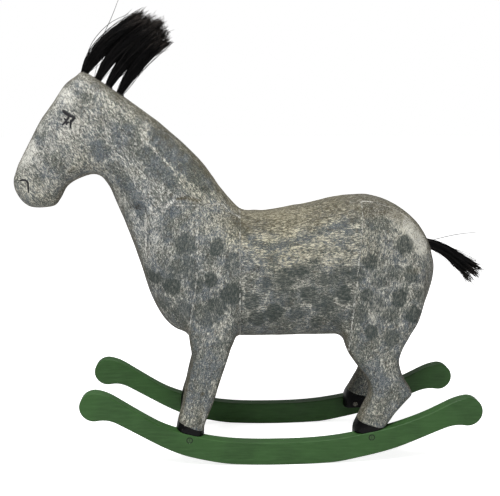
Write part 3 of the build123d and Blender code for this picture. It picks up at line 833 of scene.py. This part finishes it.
def steel_material():
    """Dull steel with fine turning marks and brown tarnish."""
    paint = Paint("nut_steel")
    plain = paint.place()
    marks = paint.noise(paint.place(0.0, 6.0), 0.6, 3.0, 0.6)
    tarnish = paint.noise(plain, 1.8, 4.0, 0.65)
    colour = paint.mix(paint.ramp(tarnish, 0.45, 0.6), STEEL, TARNISH)
    return paint.coat(colour, paint.ramp(tarnish, 0.4, 0.65, 0.3, 0.6), marks, 0.06, Metallic=0.9)


def twine_material():
    """Waxed black twine: strands laid round the bundle, seen as fine ridges."""
    paint = Paint("twine")
    plain = paint.place()
    turns = paint.node(
        "TexWave",
        {"Vector": plain, "Scale": 320.0, "Distortion": 3.0, "Detail": 2.0, "Detail Scale": 3.0},
        "Fac",
        bands_direction="Z",
    )
    fuzz = paint.noise(plain, 0.5, 3.0, 0.7)
    colour = paint.mix(paint.ramp(turns, 0.2, 0.9), TWINE_DEEP, TWINE_WAX)
    colour = paint.mix(paint.ramp(fuzz, 0.62, 0.75, 0.0, 0.6), colour, TWINE_FUZZ)
    return paint.coat(colour, 0.6, turns, 0.3)


def bristle_material():
    """Stiff black bristle: every hair a little lighter or browner than its neighbour, and glossy."""
    paint = Paint("bristle")
    shade = paint.attribute("shade")
    colour = paint.mix(paint.ramp(shade, 0.3, 1.0), HAIR_BLACK, HAIR_BROWN)
    ends = paint.ramp(paint.attribute("along"), 0.8, 1.0, 0.0, 0.5)
    colour = paint.mix(paint.times(ends, shade), colour, HAIR_ENDS)
    ripple = paint.noise(paint.place(), 1.2, 3.0, 0.6)
    rough = paint.ramp(ripple, 0.35, 0.65, 0.32, 0.5)
    return paint.coat(colour, rough, ripple, 0.12, Specular_IOR_Level=0.16)


def black_paint_material():
    """The black of the eye and nostril, brushed on thin."""
    paint = Paint("black_strokes")
    plain = paint.place()
    drag = paint.noise(plain, 1.4, 4.0, 0.7)
    colour = paint.mix(paint.ramp(drag, 0.56, 0.68), STROKE_BLACK, STROKE_GREY)
    return paint.coat(colour, paint.ramp(drag, 0.3, 0.7, 0.3, 0.55), drag, 0.2)


def wood_material():
    """Bare birch dowel, its grain along its length."""
    paint = Paint("dowel_wood")
    grain = paint.noise(paint.place(0.0, 8.0), 1.5, 4.0, 0.65)
    colour = paint.mix(paint.ramp(grain, 0.35, 0.7), BIRCH_PALE, BIRCH_DARK)
    return paint.coat(colour, 0.65, grain, 0.15)


# ------------ meshes
def polygons(field, xs, ys, zs):
    """The field's zero surface as a mesh's vertices, in script mm, and faces."""
    near = np.argwhere(field < 3.0)
    lo = np.maximum(near.min(axis=0) - 2, 0)
    hi = near.max(axis=0) + 3
    block = np.ascontiguousarray(
        np.clip(field[lo[0]:hi[0], lo[1]:hi[1], lo[2]:hi[2]], -3.0, 3.0), dtype=np.float32
    )
    grid = vdb.FloatGrid(3.0)
    grid.copyFromArray(block)
    points, triangles, quads = grid.convertToPolygons(isovalue=0.0, adaptivity=0.0)
    start = np.array([xs[lo[0]], ys[lo[1]], zs[lo[2]]])
    faces = triangles.tolist() + quads.tolist()
    return points * VOXEL + start, faces


def new_piece(name, verts, faces, material, node=None):
    """A mesh object from script-mm vertices, riding on the root and replacing its CAD node."""
    mesh = bpy.data.meshes.new(name)
    placed = (np.asarray(verts, float) + (MIDDLE_X, 0.0, 0.0)) * MM
    mesh.from_pydata(placed.tolist(), [], faces)
    mesh.validate()
    piece = bpy.data.objects.new(name, mesh)
    bpy.context.collection.objects.link(piece)
    mesh.materials.append(material)
    mesh.shade_smooth()
    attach(piece, "root")
    if node:
        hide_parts(node)
    return piece


def store(piece, masks):
    """Writes {name: values} on a piece's vertices for its material to read."""
    for name, values in masks.items():
        layer = piece.data.attributes.new(name, "FLOAT", "POINT")
        layer.data.foreach_set("value", np.asarray(values, np.float32))


def make_horse(xs, ys, zs, horse):
    """Cut the carved horse into its boards and paint them."""
    brushed = {way: dapple_material(f"dapple_{way}", *drag) for way, drag in BRUSHING.items()}
    paints = {"neck_and_head": brushed["neck"], "body_block": brushed["barrel"]}
    for name, region in regions(xs, ys, zs).items():
        region = region.astype(np.float32)
        board = smooth_max(horse, region - SEAM_LAP, SEAM_ROUND)
        verts, faces = polygons(board, xs, ys, zs)
        material = paints.get(name, brushed["upright"])
        piece = new_piece(f"carved_{name}", verts, faces, material, name)
        start = (xs[0], ys[0], zs[0])
        cell = [np.rint((verts[:, i] - start[i]) / VOXEL).astype(int) for i in range(3)]
        cell = [np.clip(c, 0, n - 1) for c, n in zip(cell, region.shape)]
        normals = np.zeros(3 * len(verts), np.float32)
        piece.data.vertices.foreach_get("normal", normals)
        store(piece, paint_masks(verts, normals.reshape(-1, 3), -region[tuple(cell)]))


def flank(xs, ys, zs, horse, x, z, sign):
    """How far out, in y, the surface lies at (x, z) on one side."""
    i, j = int((x - xs[0]) / VOXEL), int((z - zs[0]) / VOXEL)
    tx, tz = (x - xs[i]) / VOXEL, (z - zs[j]) / VOXEL
    column = (
        horse[i, :, j] * (1 - tx) * (1 - tz) + horse[i + 1, :, j] * tx * (1 - tz)
        + horse[i, :, j + 1] * (1 - tx) * tz + horse[i + 1, :, j + 1] * tx * tz
    )
    outward = np.argsort(sign * ys)[::-1]
    values = column[outward]
    first = int(np.argmax(values < 0.0))
    t = values[first - 1] / (values[first - 1] - values[first])
    return ys[outward[first - 1]] * (1 - t) + ys[outward[first]] * t


# A stroke's section: how far across, of its half width, and how far out of the wood, in mm.
STROKE_SECTION = (
    (-1.0, -0.4), (-1.0, 0.02), (-0.5, 0.22), (0.0, 0.28), (0.5, 0.22), (1.0, 0.02), (1.0, -0.4),
)


def make_strokes(name, strokes, surface, material):
    """Brush strokes of thin paint that follow the head's surface, on both sides of it."""
    n = len(STROKE_SECTION)
    verts, faces = [], []
    for sign in (-1.0, 1.0):
        for half, points in strokes:
            path = smooth_line(points, 6)
            heading = unit(np.gradient(path, axis=0))
            start = len(verts)
            for i, ((x, z), (hx, hz)) in enumerate(zip(path, heading)):
                t = i / (len(path) - 1)
                width = half * (0.4 + 0.6 * min(1.0, 5.0 * t, 2.2 * (1.0 - t)) ** 0.6)
                for across, lift in STROKE_SECTION:
                    px, pz = x - hz * across * width, z + hx * across * width
                    verts.append((px, surface(px, pz, sign) + sign * lift, pz))
            for i in range(len(path) - 1):
                for k in range(n):
                    a, b = start + i * n + k, start + i * n + (k + 1) % n
                    faces.append((a + n, b + n, b, a) if sign < 0 else (a, b, b + n, a + n))
            last = start + (len(path) - 1) * n
            caps = [tuple(range(start, start + n))[::-1], tuple(range(last, last + n))]
            faces += [cap[::-1] for cap in caps] if sign < 0 else caps
    return new_piece(name, verts, faces, material)


def hair_mesh(paths, radii, shades):
    """Three-sided tapered hairs along paths (hair, ring, xyz). Returns verts, faces, masks."""
    count, rings, _ = paths.shape
    heading = unit(np.gradient(paths, axis=1))
    side = unit(np.cross(heading, (0.0, 1.0, 0.05)))
    other = np.cross(heading, side)
    along = np.linspace(0.0, 1.0, rings)
    taper = np.interp(along, (0.0, 0.6, 1.0), (1.0, 1.0, 0.6))
    corners = []
    for k in range(3):
        angle = 2.0 * math.pi * k / 3.0
        spoke = side * math.cos(angle) + other * math.sin(angle)
        corners.append(paths + spoke * (radii[:, None] * taper)[..., None])
    verts = np.stack(corners, axis=2).reshape(-1, 3)
    base = (np.arange(count)[:, None] * rings + np.arange(rings - 1)[None, :]).reshape(-1) * 3
    faces = []
    for k in range(3):
        a, b = base + k, base + (k + 1) % 3
        faces += np.stack([a, b, b + 3, a + 3], axis=1).tolist()
    first = np.arange(count) * rings * 3
    last = first + (rings - 1) * 3
    faces += np.stack([first + 2, first + 1, first], axis=1).tolist()
    faces += np.stack([last, last + 1, last + 2], axis=1).tolist()
    masks = {
        "shade": np.repeat(shades, rings * 3),
        "along": np.tile(np.repeat(along, 3), count),
    }
    return verts, faces, masks


def make_tuft(name, node, seed, count, lock_count, centre, spreads, strays, material):
    """A bundle of bristle along a Bezier with four (x, z) points, opening by spreads at each.

    Its hairs gather into lock_count locks; strays are the paths of single loose hairs.
    """
    rng = np.random.default_rng(seed)
    rings = 12
    centre = np.array(centre, float)
    heading = unit(np.gradient(centre, axis=0))
    across = np.stack([-heading[:, 1], heading[:, 0]], axis=1)
    locks = rng.uniform(-1.0, 1.0, (lock_count, 2))
    lock = rng.integers(0, len(locks), count)
    angle = rng.uniform(0.0, 2.0 * math.pi, count)
    reach = np.sqrt(rng.uniform(0.0, 1.0, count))
    free = np.stack([reach * np.cos(angle), reach * np.sin(angle)], axis=1)
    loose = 1.0 + 2.2 * (rng.random(count) < 0.1)
    controls = np.zeros((count, 4, 3))
    for k, opening in enumerate(spreads):
        place = free * (1.0 - GATHER[k]) + locks[lock] * GATHER[k]
        place = place + rng.normal(0.0, 1.0, (count, 2)) * loose[:, None] * JITTER[k]
        place = place * opening
        controls[:, k, 0] = centre[k, 0] + across[k, 0] * place[:, 0]
        controls[:, k, 2] = centre[k, 1] + across[k, 1] * place[:, 0]
        controls[:, k, 1] = place[:, 1] * (1.0 if k < 2 else 0.85)
    lock_cut = rng.uniform(-0.07, 0.03, lock_count)[lock]
    cut = 1.0 + lock_cut + rng.normal(0.0, 0.025, count) - 0.1 * rng.random(count) ** 3
    cut = np.clip(cut, 0.7, 1.08)
    t = np.linspace(0.0, 1.0, rings)[None, :] * cut[:, None]
    basis = np.stack([(1 - t) ** 3, 3 * t * (1 - t) ** 2, 3 * t * t * (1 - t), t**3], axis=-1)
    paths = np.einsum("nrk,nkc->nrc", basis, controls)
    extra = []
    for stray in strays:
        line = smooth_line(stray, 12)
        pick = np.linspace(0, len(line) - 1, rings)
        steps = np.arange(len(line))
        extra.append(np.stack([np.interp(pick, steps, line[:, c]) for c in range(3)], axis=1))
    if extra:
        paths = np.concatenate([paths, np.array(extra)])
    radii = rng.uniform(*HAIR_RADII, len(paths))
    radii[count:] = STRAY_RADIUS
    shades = rng.random(len(paths)) ** 2
    verts, faces, masks = hair_mesh(paths, radii, shades)
    piece = new_piece(name, verts, faces, material, node)
    store(piece, masks)


# Each tuft: hairs, Bezier points (x, z), opening at each point, stray hairs (x, y, z).
MANE = [
    (560, [(-232.5, 458), (-219, 486), (-197.5, 503.5), (-162, 525)], (3.4, 12, 11, 9.5),
     [[(-231, -1, 459), (-212, -3, 495), (-198, -4, 522), (-189, -5, 543)],
      [(-233, -2, 459), (-222, -5, 492), (-201, -7, 515), (-177, -8, 527)],
      [(-231, -2, 459), (-210, -5, 501), (-186, -7, 520), (-163, -8, 533)]]),
    (520, [(-217.5, 450), (-203, 478), (-180, 501), (-147, 521)], (3.2, 8.5, 12, 10),
     []),
    (520, [(-205.5, 442), (-191, 468), (-170, 492), (-137, 514)], (3.2, 8.5, 12, 10.5),
     []),
    (520, [(-192.5, 434), (-180, 456), (-163, 480), (-133, 500)], (3.3, 7, 9.5, 9),
     [[(-190, -2, 436), (-172, -4, 460), (-156, -5, 476), (-138, -6, 485)]]),
]
TAIL = (
    560, [(180, 257), (205, 250), (222, 236), (247, 216)], (5, 7, 8.5, 12.5),
    [[(184, -2, 258), (196, -4, 262), (218, -5, 267), (242, -6, 270)],
     [(184, -2, 250), (208, -4, 238), (230, -5, 219), (245, -6, 200)]],
)


def make_bristle():
    """The mane's four tufts and the tail."""
    black = bristle_material()
    for number, (count, centre, spreads, strays) in enumerate(MANE, 1):
        make_tuft(
            f"bristle_mane_{number}", f"mane_tuft_{number}", number, count,
            count // HAIRS_PER_LOCK, centre, spreads, strays, black,
        )
    count, centre, spreads, strays = TAIL
    make_tuft(
        "bristle_tail", "tail_tuft", TAIL_SEED, count, TAIL_LOCKS, centre, spreads, strays, black
    )


def finish_cad_nodes():
    """Materials of the CAD nodes that stay: rockers, screws, nuts, whippings and dowels."""
    finishes = {
        "rocker": enamel_material("green_enamel", GREEN, 0.35),
        "sleeve": steel_material(),
        "mane": twine_material(),
        "dowels": wood_material(),
    }
    finishes["tail"] = finishes["mane"]
    for name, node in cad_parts.items():
        kind = "dowels" if name.endswith("dowels") else name.split("_")[0]
        if kind == "screw":
            lo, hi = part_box(name)
            head = (0.5 * (lo[0] + hi[0]), 0.5 * (lo[2] + hi[2]), 0.5 * (hi[0] - lo[0]))
            finishes[kind] = enamel_material(f"paint_on_{name}", SCREW_GREEN, 1.0, head)
        if kind in finishes:
            node.data.materials.clear()
            node.data.materials.append(finishes[kind])


make_camera()
make_stage()
grid_x, grid_y, grid_z, carved = carve_horse()
make_horse(grid_x, grid_y, grid_z, carved)
strokes_paint = black_paint_material()


def surface(x, z, sign):
    """The head's surface under a stroke."""
    return flank(grid_x, grid_y, grid_z, carved, x, z, sign)


make_strokes("painted_eyes", EYE, surface, strokes_paint)
make_strokes("painted_nostrils", NOSTRIL, surface, strokes_paint)
make_bristle()
finish_cad_nodes()
